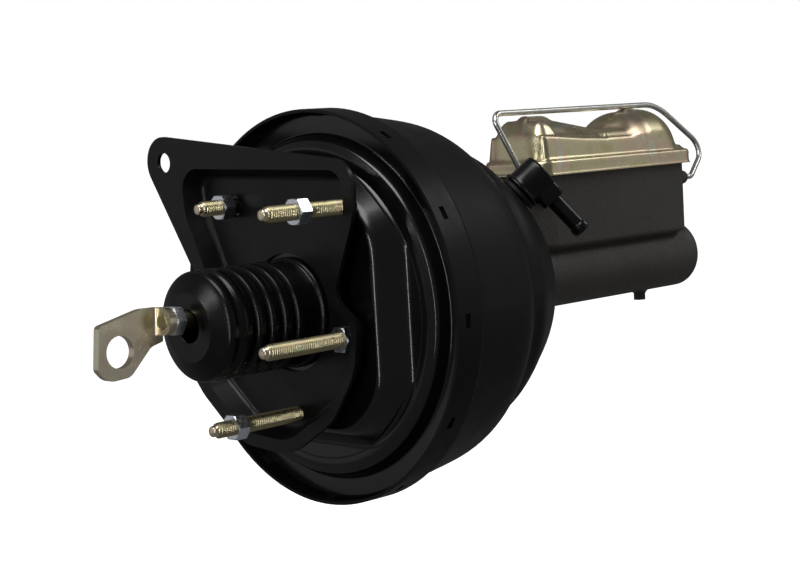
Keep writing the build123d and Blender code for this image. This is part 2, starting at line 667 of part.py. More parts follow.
for y in port_y:
    boss = Pos(port_boss_x, y, 0) * Rot(0, 90, 0) * Cylinder(port_boss_radius, -port_boss_x, align=up)
    body += boss
body += Pos(0, stop_screw_y, 0) * Rot(180, 0, 0) * Cylinder(5.0, barrel_radius + 2.0, align=up)
bail_boss_rear = tank_rear_y - bail_boss_reach
bail_boss_front = tank_front_y + bail_boss_reach
body += rod_y(bail_boss_radius, bail_boss_rear, tank_rear_y + 6, bail_x, bail_z) & (
    Pos(0, tank_mid_y, 0) * Box(2 * tank_half_width, tank_length + 20, 200))
body += rod_y(bail_boss_radius, bail_boss_front, tank_front_y - 6, bail_x, bail_z) & (
    Pos(0, tank_mid_y, 0) * Box(2 * tank_half_width, tank_length + 20, 200))
pin_radius = wire_radius + running_gap
body -= rod_y(pin_radius, bail_boss_rear - 1, bail_boss_rear + bail_pin_depth + free_gap, bail_x, bail_z)
body -= rod_y(pin_radius, bail_boss_front + 1, bail_boss_front - bail_pin_depth - free_gap, bail_x, bail_z)
body -= rod_y(bore_radius, nose_y - 1, bore_front_y)
for side in (-1, 1):
    body -= rod_y(stud_radius, shell_front_y - 1, flange_front_y + 1, side * stud_side, 0)
for y in port_y:
    body -= Pos(port_boss_x - 1, y, 0) * Rot(0, 90, 0) * Cylinder(port_thread_radius, port_depth + 1, align=up)
    body -= Pos(port_boss_x, y, 0) * Rot(0, 90, 0) * Cylinder(
        port_seat_radius + port_seat_gap, port_depth + port_seat_drop + port_seat_length, align=up)
    body -= Pos(port_boss_x, y, 0) * Rot(0, 90, 0) * Cylinder(1.6, -port_boss_x, align=up)
feed_y = (primary_front_y - 20, primary_front_y + 3, secondary_front_y - 20, secondary_front_y + 3)
for y in feed_y:
    body -= Pos(0, y, bore_radius - 2) * Cylinder(1.5, 30, align=up)
screw_hole = Pos(0, stop_screw_y, -barrel_radius - 4) * Cylinder(stop_screw_radius, barrel_radius, align=up)
body -= screw_hole
snap_y = nose_y + 4.0
body -= ring(0, bore_radius + 1.2, snap_y, snap_y + 1.6)
save("master_cylinder_body", body)

stop_head_z = -barrel_radius - 2.0
stop_screw = Pos(0, stop_screw_y, stop_head_z) * Cylinder(
    stop_screw_radius, barrel_radius + 2.0 - bore_radius + 3.5, align=up)
stop_screw += Pos(0, stop_screw_y, stop_head_z - 4.5) * extrude(RegularPolygon(4.6, 6), amount=4.5)
save("piston_stop_screw", stop_screw)
save("snap_ring", ring(bore_radius - 1.8, bore_radius + 1.1, snap_y + 0.1, snap_y + 1.5)
     - Pos(0, snap_y, -bore_radius) * Box(9, 6, 8))
save("front_seal", ring(output_rod_radius + 0.3, bore_radius, nose_y + 0.2, snap_y - 0.2))
for i, y in enumerate(port_y):
    seat = ring(1.6, port_seat_radius, 0, port_seat_length)
    seat = Pos(port_boss_x + port_depth + port_seat_drop + port_seat_length, y, 0) * Rot(0, 0, 90) * seat
    save(("rear_port_seat", "front_port_seat")[i], seat)


def piston(rear, front, rear_land, front_land, socket):
    """A brake piston with two lands, two cup grooves and a waist between them."""
    land = bore_radius - running_gap
    points = [(0, rear + socket), (socket_radius, rear + socket), (socket_radius, rear)]
    if socket == 0:
        points = [(0, rear)]
    groove = land - 3.2
    points += [
        (land - 0.8, rear), (land, rear + 0.8), (land, rear + rear_land - 5), (groove, rear + rear_land - 5),
        (groove, rear + rear_land - 1.5), (land, rear + rear_land - 1.5), (land, rear + rear_land),
        (waist_radius, rear + rear_land + 1), (waist_radius, front - front_land), (land, front - front_land),
        (land, front - 5), (groove, front - 5), (groove, front), (0, front)]
    return turned(points)


def cup(y0, y1):
    """A rubber cup that fills a piston groove and just clears the bore."""
    land = bore_radius - running_gap
    return turned([
        (land - 3.1, y0 + 0.1), (land - 0.7, y0 + 0.1), (land, y1 - 0.9), (land - 0.3, y1 - 0.1),
        (land - 3.1, y1 - 0.1)])


rear_land = 14.0
save("primary_piston", piston(primary_rear_y, primary_front_y, rear_land, land_length, socket_depth))
save("primary_cups", Compound(children=[
    cup(primary_rear_y + rear_land - 5, primary_rear_y + rear_land - 1.5),
    cup(primary_front_y - 5, primary_front_y)]))
save("secondary_piston", piston(
    secondary_rear_y, secondary_front_y, rear_land, secondary_front_y - stop_screw_y - stop_screw_radius - free_gap, 0))
save("secondary_cups", Compound(children=[
    cup(secondary_rear_y + rear_land - 5, secondary_rear_y + rear_land - 1.5),
    cup(secondary_front_y - 5, secondary_front_y)]))
save("primary_spring", coil(
    piston_spring_radius, piston_spring_wire, primary_front_y + 0.1, secondary_rear_y - 0.1, 6))
save("secondary_spring", coil(
    piston_spring_radius, piston_spring_wire, secondary_front_y + 0.1, bore_front_y - 0.1, 4))

# Lid: a pressed cover with a skirt, a boxy rear dome that falls to a ridge, and a round front dome.
gasket_z = tank_top_z + gasket_thick
lid_top_z = gasket_z + lid_sheet
gasket_plan = RectangleRounded(2 * tank_half_width, tank_length, tank_corner)
gasket_hole = RectangleRounded(
    2 * (rear_dome_half - 5), tank_length - 2 * tank_wall - 14, tank_corner - tank_wall)
gasket = Pos(0, tank_mid_y, tank_top_z) * extrude(gasket_plan - gasket_hole, amount=gasket_thick)
save("lid_gasket", gasket)


def raised(y0, y1, corner, top_z, edge, depth, draft=0.0):
    """A block with round corners on the lid's flat, smaller all round by depth."""
    plan = RectangleRounded(2 * (rear_dome_half - depth), y1 - y0 - 2 * depth, corner - depth)
    block = Pos(0, (y0 + y1) / 2, gasket_z) * extrude(plan, amount=top_z - depth - gasket_z, taper=draft)
    return fillet(block.edges().group_by(Axis.Z)[-1], edge - depth)


def ridge_section(y, top_z, depth):
    """The ridge's section at y, with its top at top_z."""
    foot, top = ridge_foot_half - depth, top_z - depth
    line = FilletPolyline(
        (-foot, gasket_z), (-foot, ledge_z - 6), (depth - ridge_half, top), (ridge_half - depth, top),
        (foot, ledge_z - 6), (foot, gasket_z), radius=[2.0, ridge_edge, ridge_edge, 2.0])
    face = make_face([line, Line(line @ 1, line @ 0)])
    return Plane(origin=(0, y, 0), x_dir=(1, 0, 0), z_dir=(0, -1, 0)) * face


def lid_form(depth):
    """Everything that the lid's sheet is drawn up into; a depth gives the hollow under it."""
    rear_y, step_y = rear_dome_y
    head_y = rear_y + head_length
    form = raised(rear_y, step_y, rear_dome_corner, ledge_z, ledge_edge, depth)
    form += raised(rear_y, head_y, head_corner, head_z, head_edge, depth, head_draft)
    fall = (ridge_z - saddle_z) / (saddle_y - head_y)
    end_y = front_dome_y[0] - 12
    end_z = ridge_z - fall * (end_y - head_y)
    form += loft([ridge_section(head_y - 15, ridge_z, depth), ridge_section(head_y, ridge_z, depth)], ruled=True)
    form += loft([ridge_section(head_y, ridge_z, depth), ridge_section(end_y, end_z, depth)], ruled=True)
    plan = SlotCenterToCenter(front_dome_y[1] - front_dome_y[0], 2 * (front_dome_half - depth), rotation=90)
    front_mid = (front_dome_y[0] + front_dome_y[1]) / 2
    rise = front_dome_z - depth - gasket_z
    bowl_end = Pos(0, front_mid, gasket_z) * extrude(plan, amount=rise, taper=front_dome_draft)
    return form + fillet(bowl_end.edges().group_by(Axis.Z)[-1], front_dome_edge - depth)


def lid_plan(depth):
    return RectangleRounded(
        2 * (tank_half_width + lid_reach - depth), tank_length + 2 * (lid_reach - depth),
        tank_corner + lid_reach - depth)


lid = Pos(0, tank_mid_y, lid_skirt_z) * extrude(lid_plan(0), amount=lid_top_z - lid_skirt_z)
lid = fillet(lid.edges().group_by(Axis.Z)[-1], lid_sheet)
lid += lid_form(0)
lid -= Pos(0, tank_mid_y, lid_skirt_z - 1) * extrude(lid_plan(lid_sheet), amount=gasket_z - lid_skirt_z + 1)
lid -= lid_form(lid_sheet)
rest_z = bail_top_z - wire_radius + wire_bed
for y, top_z in zip(wire_pad_y, (head_z, front_dome_z)):
    pad = Pos(bail_top_x, y, top_z - 1.2) * Box(
        wire_pad_width, wire_pad_length, rest_z - top_z + 1.2, align=up)
    lid += pad - rod_y(wire_radius + 0.05, y - wire_pad_length, y + wire_pad_length, bail_top_x, bail_top_z)
save("reservoir_lid", lid)

# Bail: one bent wire, hinged at both ends of the tank, that lies over the lid.
bail_height = hypot(bail_top_x - bail_x, bail_top_z - bail_z)
bail_plane = Plane(
    origin=(bail_x, 0, bail_z), x_dir=(0, 1, 0),
    z_dir=Vector(bail_top_z - bail_z, 0, bail_x - bail_top_x).normalized())
rise_sign = 1 if bail_plane.y_dir.Z > 0 else -1
bail_points = [
    (bail_boss_rear + bail_pin_depth, 0), (bail_boss_rear - 5.5, 0), (tank_rear_y - 21.5, bail_height),
    (tank_front_y - 10.0, bail_height), (tank_front_y + bail_nose_reach, bail_height - bail_nose_drop),
    (bail_boss_front + 9.5, 0), (bail_boss_front - bail_pin_depth, 0)]
bail_path = FilletPolyline(
    *[(y, rise_sign * h) for y, h in bail_points], radius=[4.5, 6.0, 12.0, 9.0, 6.5])
bail_path = bail_plane * bail_path
bail = sweep(Plane(origin=bail_path @ 0, z_dir=bail_path % 0) * Circle(wire_radius), path=bail_path)
save("bail_wire", bail)
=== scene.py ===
import json
from math import cos, pi, sin, tan

import bpy
import bmesh
import numpy as np
from mathutils import Matrix, Vector


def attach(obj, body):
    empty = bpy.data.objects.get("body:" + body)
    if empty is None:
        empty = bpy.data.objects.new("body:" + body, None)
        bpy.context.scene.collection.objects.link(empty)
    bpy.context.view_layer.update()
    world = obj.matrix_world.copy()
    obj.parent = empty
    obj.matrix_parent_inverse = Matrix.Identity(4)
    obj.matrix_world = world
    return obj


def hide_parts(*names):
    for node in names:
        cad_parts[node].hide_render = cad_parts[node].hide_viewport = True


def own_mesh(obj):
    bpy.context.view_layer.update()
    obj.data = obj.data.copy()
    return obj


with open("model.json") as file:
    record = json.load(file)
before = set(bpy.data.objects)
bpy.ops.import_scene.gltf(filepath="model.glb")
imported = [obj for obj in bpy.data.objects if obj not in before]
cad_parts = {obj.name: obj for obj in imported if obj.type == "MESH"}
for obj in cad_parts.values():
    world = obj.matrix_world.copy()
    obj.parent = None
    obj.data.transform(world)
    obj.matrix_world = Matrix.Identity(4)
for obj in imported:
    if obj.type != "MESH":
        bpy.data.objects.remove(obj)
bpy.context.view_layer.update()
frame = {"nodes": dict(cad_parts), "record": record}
nodes = frame["nodes"]
MM = 0.001

# ---------------------------------------------------------------- materials


class Mat:
    """A small helper round one node tree."""

    def __init__(self, name):
        self.mat = bpy.data.materials.new(name)
        self.mat.use_nodes = True
        self.tree = self.mat.node_tree
        self.bsdf = self.tree.nodes["Principled BSDF"]
        self.coord = self.add("ShaderNodeTexCoord")

    def add(self, kind, **inputs):
        """A new node with plain values on its sockets."""
        node = self.tree.nodes.new(kind)
        for key, value in inputs.items():
            node.inputs[key].default_value = value
        return node

    def link(self, a, b):
        self.tree.links.new(a, b)

    def noise(self, scale, detail=3.0, rough=0.5, stretch=None, distortion=0.0):
        node = self.add("ShaderNodeTexNoise", Scale=scale, Detail=detail, Roughness=rough, Distortion=distortion)
        source = self.coord.outputs["Object"]
        if stretch:
            mapping = self.add("ShaderNodeMapping")
            mapping.inputs["Scale"].default_value = stretch
            self.link(source, mapping.inputs["Vector"])
            source = mapping.outputs["Vector"]
        self.link(source, node.inputs["Vector"])
        return node.outputs["Fac"]

    def ramp(self, fac, stops, mode="LINEAR"):
        node = self.add("ShaderNodeValToRGB")
        node.color_ramp.interpolation = mode
        elements = node.color_ramp.elements
        while len(elements) < len(stops):
            elements.new(0.5)
        for element, (place, colour) in zip(elements, stops):
            element.position = place
            element.color = (*colour, 1.0) if len(colour) == 3 else colour
        self.link(fac, node.inputs["Fac"])
        return node.outputs["Color"]

    def span(self, fac, low, high, start=0.0, end=1.0):
        """Map fac from start..end to low..high."""
        node = self.add("ShaderNodeMapRange")
        node.inputs["From Min"].default_value = start
        node.inputs["From Max"].default_value = end
        node.inputs["To Min"].default_value = low
        node.inputs["To Max"].default_value = high
        self.link(fac, node.inputs["Value"])
        return node.outputs["Result"]

    def mix(self, fac, a, b):
        """Colour a where fac is 0, b where it is 1; a and b are sockets or plain colours."""
        node = self.add("ShaderNodeMix")
        node.data_type = "RGBA"
        self.link(fac, node.inputs[0])
        for socket, value in ((node.inputs[6], a), (node.inputs[7], b)):
            if isinstance(value, bpy.types.NodeSocket):
                self.link(value, socket)
            else:
                socket.default_value = (*value, 1.0)
        return node.outputs[2]

    def colour(self, value):
        if isinstance(value, bpy.types.NodeSocket):
            self.link(value, self.bsdf.inputs["Base Color"])
        else:
            self.bsdf.inputs["Base Color"].default_value = (*value, 1.0)

    def rough(self, value):
        if isinstance(value, bpy.types.NodeSocket):
            self.link(value, self.bsdf.inputs["Roughness"])
        else:
            self.bsdf.inputs["Roughness"].default_value = value

    def bump(self, height, distance, strength=1.0):
        """Add a bump on top of those already there; distance in metres."""
        node = self.add("ShaderNodeBump", Strength=strength, Distance=distance)
        self.link(height, node.inputs["Height"])
        previous = self.bsdf.inputs["Normal"].links
        if previous:
            self.link(previous[0].from_socket, node.inputs["Normal"])
        self.link(node.outputs["Normal"], self.bsdf.inputs["Normal"])

    def set(self, **values):
        """Constants on the shader's own sockets."""
        for key, value in values.items():
            self.bsdf.inputs[key.replace("_", " ")].default_value = value


def paint(name, shade, low, high, level, coat, peel, dust=0.002):
    """Black paint over pressed steel: orange peel, a little dust and varied gloss."""
    m = Mat(name)
    broad = m.noise(18, 4, 0.55)
    fine = m.noise(240, 2, 0.5)
    m.colour(m.ramp(broad, [(0.3, (shade, shade, shade * 1.06)), (0.75, (shade + dust, shade + dust, shade + dust))]))
    m.rough(m.span(m.noise(55, 5, 0.6), low, high, 0.3, 0.7))
    m.bump(fine, 0.00012, peel)
    m.bump(m.noise(1100, 2, 0.6), 0.00003, peel * 0.5)
    m.set(Specular_IOR_Level=level, Coat_Weight=coat, Coat_Roughness=0.16)
    return m.mat


def zinc(name, stops, low, high, scale=60, brushed=0.15, fine=1400):
    """Plated steel: the passivate's colour drifts over the metal, with fine grain in the gloss."""
    m = Mat(name)
    drift = m.noise(scale, 3, 0.55, distortion=1.2)
    m.colour(m.ramp(drift, stops))
    m.rough(m.span(m.noise(scale * 3, 5, 0.6), low, high, 0.3, 0.7))
    m.bump(m.noise(fine, 3, 0.6), 0.00003, brushed)
    m.set(Metallic=1.0)
    return m.mat


def rubber(name, shade, low, high, level, grain=0.25):
    """Moulded rubber or plastic: near black with a fine matt grain."""
    m = Mat(name)
    m.colour(m.ramp(m.noise(35, 4, 0.6), [(0.35, (shade,) * 3), (0.8, (shade * 1.7,) * 3)]))
    m.rough(m.span(m.noise(90, 4, 0.6), low, high, 0.3, 0.7))
    m.bump(m.noise(900, 3, 0.6), 0.00006, grain)
    m.set(Specular_IOR_Level=level)
    return m.mat


def plain(name, colour, low, high, metallic=0.0, scale=80, bump=0.1, grain=1200):
    """Inner pieces: one colour with drifting shade, varied gloss and a fine grain."""
    m = Mat(name)
    darker = tuple(c * 0.8 for c in colour)
    m.colour(m.ramp(m.noise(scale, 4, 0.6), [(0.3, darker), (0.7, colour)]))
    m.rough(m.span(m.noise(scale * 2, 4, 0.6), low, high, 0.3, 0.7))
    m.bump(m.noise(grain, 2, 0.5), 0.00004, bump)
    m.set(Metallic=metallic)
    return m.mat


def cast(name):
    """Cast iron with a sand-cast grain under a thin dark grey coating."""
    m = Mat(name)
    m.colour(m.mix(
        m.span(m.noise(900, 3, 0.7), 0.0, 1.0, 0.35, 0.7),
        m.ramp(m.noise(28, 4, 0.6), [(0.3, (0.052, 0.048, 0.041)), (0.7, (0.066, 0.061, 0.053))]),
        (0.095, 0.090, 0.080)))
    m.rough(m.span(m.noise(300, 4, 0.6), 0.48, 0.66, 0.3, 0.7))
    m.bump(m.noise(520, 4, 0.65), 0.00030, 0.45)
    m.bump(m.noise(1600, 3, 0.7), 0.00012, 0.45)
    m.set(Specular_IOR_Level=0.35)
    return m.mat


gold_stops = [
    (0.30, (0.44, 0.38, 0.19)), (0.45, (0.48, 0.44, 0.27)), (0.55, (0.48, 0.38, 0.24)), (0.66, (0.39, 0.42, 0.26)),
    (0.78, (0.48, 0.41, 0.21))]
# The link's stops are a lighter copy of the yellow zinc: painted highlight for the light its plate catches.
link_highlight_stops = [
    (0.30, (0.74, 0.68, 0.44)), (0.45, (0.80, 0.77, 0.58)), (0.55, (0.80, 0.68, 0.52)), (0.66, (0.70, 0.74, 0.56)),
    (0.78, (0.80, 0.73, 0.48))]
lid_stops = [
    (0.28, (0.57, 0.49, 0.27)), (0.42, (0.65, 0.59, 0.39)), (0.52, (0.67, 0.51, 0.37)), (0.60, (0.65, 0.62, 0.47)),
    (0.68, (0.46, 0.55, 0.47)), (0.78, (0.59, 0.53, 0.31))]
# The dog points' stops are a pale copy of the yellow zinc: painted highlight where the stud ends catch the light.
tip_highlight_stops = [(0.35, (0.84, 0.70, 0.50)), (0.65, (0.88, 0.78, 0.62))]
steel_stops = [(0.35, (0.78, 0.83, 0.90)), (0.65, (0.90, 0.94, 1.0))]
wire_stops = [(0.35, (0.56, 0.56, 0.52)), (0.65, (0.64, 0.64, 0.60))]

bracket_paint = paint("bracket_paint", 0.0040, 0.30, 0.44, 0.22, 0.06, 0.14, 0.0015)
rear_paint = paint("rear_shell_paint", 0.0035, 0.18, 0.26, 0.45, 0.20, 0.10, 0.001)
front_paint = paint("front_shell_paint", 0.0040, 0.38, 0.50, 0.17, 0.02, 0.20, 0.0012)
gold = zinc("yellow_zinc", gold_stops, 0.24, 0.38)
link_zinc_painted_highlight = zinc("link_yellow_zinc_painted_highlight", link_highlight_stops, 0.24, 0.36, scale=34)
tip_painted_highlight = zinc("yellow_zinc_tips_painted_highlight", tip_highlight_stops, 0.20, 0.30)
lid_zinc = zinc("lid_yellow_zinc", lid_stops, 0.24, 0.38, scale=26, brushed=0.06)
bright = zinc("clear_zinc", steel_stops, 0.22, 0.32, scale=90, brushed=0.06)
bail_steel = zinc("bail_steel", wire_stops, 0.26, 0.34, scale=120, brushed=0.0)
bare = plain("bare_steel", (0.42, 0.42, 0.43), 0.3, 0.45, 1.0)
spring_steel = plain("spring_steel", (0.26, 0.26, 0.27), 0.3, 0.42, 1.0)
boot_rubber = rubber("boot_rubber", 0.0025, 0.20, 0.32, 0.26, 0.08)
seal_rubber = rubber("seal_rubber", 0.008, 0.5, 0.65, 0.3)
plastic = rubber("valve_plastic", 0.003, 0.20, 0.32, 0.32, 0.08)
phenolic = plain("phenolic", (0.14, 0.06, 0.035), 0.4, 0.5)
nylon = plain("nylon", (0.55, 0.53, 0.47), 0.4, 0.5)
felt = plain("filter_felt", (0.30, 0.29, 0.26), 0.85, 0.95, bump=0.8, grain=700)
iron = cast("cast_iron")
alloy = plain("piston_aluminium", (0.60, 0.60, 0.61), 0.25, 0.4, 1.0)
brass = plain("brass_seat", (0.66, 0.48, 0.20), 0.25, 0.4, 1.0)

by_slot = {
    "bracket_black": bracket_paint, "rear_shell_black": rear_paint, "front_shell_black": front_paint,
    "yellow_zinc": gold, "clear_zinc": bright, "bail_steel": bail_steel, "bare_steel": bare,
    "spring_steel": spring_steel, "boot_rubber": boot_rubber, "seal_rubber": seal_rubber,
    "valve_plastic": plastic, "phenolic": phenolic, "nylon": nylon, "filter_felt": felt, "cast_iron": iron,
    "piston_aluminium": alloy, "brass": brass}
slots = {s["node"]: s["material_slot"] for s in frame["record"]["subparts"]}


def dress(obj, material):
    obj.data.materials.clear()
    obj.data.materials.append(material)


for name, obj in nodes.items():
    dress(obj, by_slot[slots[name]])
dress(nodes["piston_stop_screw"], iron)
# The pedal link wears the lighter copy of the yellow zinc, a painted highlight.
dress(nodes["pedal_link"], link_zinc_painted_highlight)


# ---------------------------------------------------------------- pieces


def add_mesh(name, verts, faces, material, body, smooth=True):
    mesh = bpy.data.meshes.new(name)
    mesh.from_pydata([tuple(c * MM for c in v) for v in verts], [], faces)
    mesh.validate()
    bm = bmesh.new()
    bm.from_mesh(mesh)
    bmesh.ops.remove_doubles(bm, verts=bm.verts, dist=1e-6)
    bmesh.ops.recalc_face_normals(bm, faces=bm.faces)
    bm.to_mesh(mesh)
    bm.free()
    for polygon in mesh.polygons:
        polygon.use_smooth = smooth
    obj = bpy.data.objects.new(name, mesh)
    bpy.context.scene.collection.objects.link(obj)
    mesh.materials.append(material)
    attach(obj, body)
    return obj


def sweep_rings(rings, closed=False):
    """Quads between rings of equal length; closed joins the last ring to the first."""
    verts = [v for ring in rings for v in ring]
    n = len(rings[0])
    faces = []
    count = len(rings) if closed else len(rings) - 1
    for i in range(count):
        j = (i + 1) % len(rings)
        for k in range(n):
            m = (k + 1) % n
            faces.append((i * n + k, i * n + m, j * n + m, j * n + k))
    return verts, faces


# Threads: a rolled 60 degree profile round the stud, between its dog point and its root.
PITCH = 1.5875
CREST_SHARE, FLANK_SHARE = 0.10, 0.74


def thread_ring_radius(y, theta, major, depth):
    phase = (y / PITCH - theta / (2 * pi)) % 1.0
    flank = abs(phase - 0.5) * 2
    return major - depth * min(1.0, max(0.0, (flank - CREST_SHARE) / FLANK_SHARE))


def threaded(x, z, tip_y, root_y, major=4.76, depth=0.86, dog=3.3, dog_length=3.0, around=36, steps=9):
    """A stud from its dog point at tip_y to root_y, with thread from the dog point on."""
    rings = [[(x, tip_y, z)] * around]
    for r, y in ((dog - 0.9, tip_y), (dog - 0.25, tip_y + 0.25), (dog, tip_y + 0.8), (dog, tip_y + dog_length)):
        rings.append([(x + r * cos(2 * pi * k / around), y, z + r * sin(2 * pi * k / around)) for k in range(around)])
    start = tip_y + dog_length
    count = int((root_y - start) / PITCH * steps)
    for i in range(count + 1):
        y = start + (root_y - start) * i / count
        lead_in = dog + 0.05 + (y - start)
        ring = []
        for k in range(around):
            theta = 2 * pi * k / around
            r = min(lead_in, thread_ring_radius(y, theta, major, depth))
            ring.append((x + r * cos(theta), y, z + r * sin(theta)))
        rings.append(ring)
    rings.append([(x, root_y, z)] * around)
    return sweep_rings(rings)


# Studs as (x, z, length beyond the bracket's floor, place of the nut); the short one is drawn black behind its nut.
PAN_FLOOR, STUD_ROOT, DOG_LENGTH, SHORT_STUD = 13.0, 15.6, 3.0, 30.0
stud_list = [
    (58.3, 63.7, 66.5, 39.0), (51.6, -13.1, 66.5, 4.15), (2.3, -61.3, 66.5, 48.0), (-45.6, 64.2, 28.8, 8.2)]
for i, (x, z, length, nut_at) in enumerate(stud_list):
    tip = PAN_FLOOR - length
    verts, faces = threaded(x, z, tip, STUD_ROOT, dog_length=DOG_LENGTH)
    thread = add_mesh(f"stud_thread_{i + 1}", verts, faces, gold, "housing")
    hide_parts("firewall_studs")
    thread.data.materials.append(tip_painted_highlight)
    thread.data.materials.append(bracket_paint)
    for polygon in thread.data.polygons:
        y = polygon.center[1] / MM
        # The dog points take the pale tip zinc, a painted highlight.
        if y < tip + DOG_LENGTH + 0.1:
            polygon.material_index = 1
        # On the short stud, the faces from its nut back to the floor take the bracket's black.
        elif length < SHORT_STUD and y > PAN_FLOOR - nut_at + 4.0:
            polygon.material_index = 2


def smooth_max(a, b, k):
    """The larger of a and b, blended over k where they meet."""
    h = np.clip(0.5 + 0.5 * (a - b) / k, 0, 1)
    return b + (a - b) * h + k * h * (1 - h)


def smooth_min(a, b, k):
    return -smooth_max(-a, -b, k)


def rounded_box(x, y, half_x, half_y, corner):
    """Signed distance from a rounded rectangle, negative inside."""
    dx = np.abs(x) - half_x + corner
    dy = np.abs(y) - half_y + corner
    return np.hypot(np.maximum(dx, 0), np.maximum(dy, 0)) + np.minimum(np.maximum(dx, dy), 0) - corner


def cut_corners(points, rounds=3, share=0.25):
    """Chaikin rounding of an open (radius, y) line that keeps its two ends."""
    for _ in range(rounds):
        new = [points[0]]
        for (r0, y0), (r1, y1) in zip(points, points[1:]):
            new.append((r0 + (r1 - r0) * share, y0 + (y1 - y0) * share))
            new.append((r1 + (r0 - r1) * share, y1 + (y0 - y1) * share))
        new.append(points[-1])
        points = new
    return points


# Boot: a moulded bellows with a conical face, an off-centre rod hole and a bead over the bracket's floor.
BOOT_WALL, BOOT_AROUND = 2.2, 144
BOOT_NOSE, BOOT_FACE = 20.0, -63.3
RIDGES, RIDGE_PITCH, FIRST_RIDGE = 4, 10.1, -42.2
HOLE_RADIUS, HOLE_Z = 9.4, 0.9


def circle_ring(radius, y, z=0.0):
    turns = [2 * pi * k / BOOT_AROUND for k in range(BOOT_AROUND)]
    return [(radius * cos(turn), y, z + radius * sin(turn)) for turn in turns]


boot_line = [
    (BOOT_NOSE, BOOT_FACE), (30.6, -58.8), (32.2, -56.8), (32.4, -54.6), (31.6, -52.4), (31.4, -50.8), (33.0, -49.0),
    (33.2, -46.4), (32.8, -43.2)]
for i in range(RIDGES):
    start = FIRST_RIDGE + i * RIDGE_PITCH
    boot_line += [
        (31.6, start + 0.2), (28.6, start + 1.3), (28.2, start + 2.2), (28.6, start + 3.1), (31.8, start + 4.6),
        (32.5, start + 5.6), (32.5, start + 8.4), (32.1, start + 9.6)]
boot_line += [(31.0, -1.2), (30.5, 0.4), (30.5, 10.6), (33.4, 11.9), (33.4, 14.4)]
boot_line = cut_corners(boot_line)
inside = []
for t in (0.0, 0.5, 1.0):
    radius = HOLE_RADIUS + (BOOT_NOSE - BOOT_WALL - HOLE_RADIUS) * t
    inside.append(circle_ring(radius, BOOT_FACE + BOOT_WALL, HOLE_Z * (1 - t)))
rings = [circle_ring(r - BOOT_WALL, y) for r, y in reversed(boot_line[3:-3])] + inside[::-1]
for t, dip in ((0.0, 0.5), (0.02, 0.12), (0.06, 0.0), (0.3, 0.0), (0.6, 0.0), (0.96, 0.0)):
    radius = HOLE_RADIUS + (BOOT_NOSE - HOLE_RADIUS) * t
    rings.append(circle_ring(radius, BOOT_FACE + dip, HOLE_Z * (1 - t)))
rings += [circle_ring(r, y) for r, y in boot_line]
rings.append(circle_ring(31.2, 14.4))
verts, faces = sweep_rings(rings)
boot = add_mesh("boot_rubber_moulding", verts, faces, boot_rubber, "housing")
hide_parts("boot")
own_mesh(boot)

# Rear shell: one pressed sheet, drawn as a height over the (x, z) plane with the soft radii of the die.
SHEET, SHELL_RIM, NECK_INSIDE, AROUND = 1.6, 118.8, 25.9, 360
FLOOR, PLATEAU, FLANGE = 15.6, 33.0, 43.0


def shell_height(x, z):
    """The outer face's y: floor, rounded pedestal, plateau with a shallow step, wall and crimp flange."""
    radius = np.hypot(x, z)
    edge = smooth_max(rounded_box(x, z, 72.5, 71.0, 30.0), radius - 84.5, 6.0)
    slope = (PLATEAU - FLOOR) / 9.5
    rise = smooth_max(edge * slope + FLOOR, FLOOR, 5.5)
    rise = smooth_min(rise, PLATEAU, 5.0)
    step = smooth_max((radius - 96.5) * 0.30 + PLATEAU, PLATEAU, 0.5)
    wall = (radius - 102.6) * 2.4 + PLATEAU + 2.6
    rise = np.where(radius > 92, smooth_max(rise, step, 0.5), rise)
    rise = np.where(radius > 97, smooth_max(rise, wall, 2.2), rise)
    return smooth_min(rise, FLANGE, 1.8)


angle = np.arange(AROUND) * 2 * pi / AROUND
neck = cut_corners([
    (NECK_INSIDE, 3.0), (NECK_INSIDE, 2.0), (28.7, 2.0), (28.7, 4.0), (27.5, 4.3), (27.5, 12.6), (29.0, 15.2),
    (32.5, 15.6)], 2)
front_rings = [[(r * cos(a), y, r * sin(a)) for a in angle] for r, y in neck]
radii = np.concatenate((np.linspace(33.5, 60, 14), np.linspace(60.6, 112, 130), [114.0, 116.5, SHELL_RIM]))
for r in radii:
    x, z = r * np.cos(angle), r * np.sin(angle)
    front_rings.append(list(zip(x.tolist(), shell_height(x, z).tolist(), z.tolist())))
back_rings = [[(SHELL_RIM * cos(a), FLANGE + SHEET, SHELL_RIM * sin(a)) for a in angle]]
for r in radii[::-1][3::3]:
    x, z = r * np.cos(angle), r * np.sin(angle)
    y = shell_height(x * (1 + SHEET / r), z * (1 + SHEET / r)) + SHEET
    back_rings.append(list(zip(x.tolist(), y.tolist(), z.tolist())))
back_rings.append([(NECK_INSIDE * cos(a), FLOOR + SHEET, NECK_INSIDE * sin(a)) for a in angle])
verts, faces = sweep_rings(front_rings + back_rings, closed=True)
shell = add_mesh("rear_shell_pressing", verts, faces, rear_paint, "housing")
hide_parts("rear_shell")

# Lid: a pressed cover, drawn as a height over the (x, y) plane, with a rolled skirt round it.
TANK_MID, LID_HALF_X, LID_HALF_Y, LID_CORNER = 305.0, 29.5, 84.0, 9.5
LID_TOP, LID_FOOT, ROLL = 77.7, 68.0, 2.4


def shoulder(inside, width, power):
    """0 at a block's edge, 1 at width inside it, with a steep wall and a round shoulder."""
    t = np.clip(inside / width, 0, 1)
    return (1 - (1 - t) ** power) ** (1 / power)


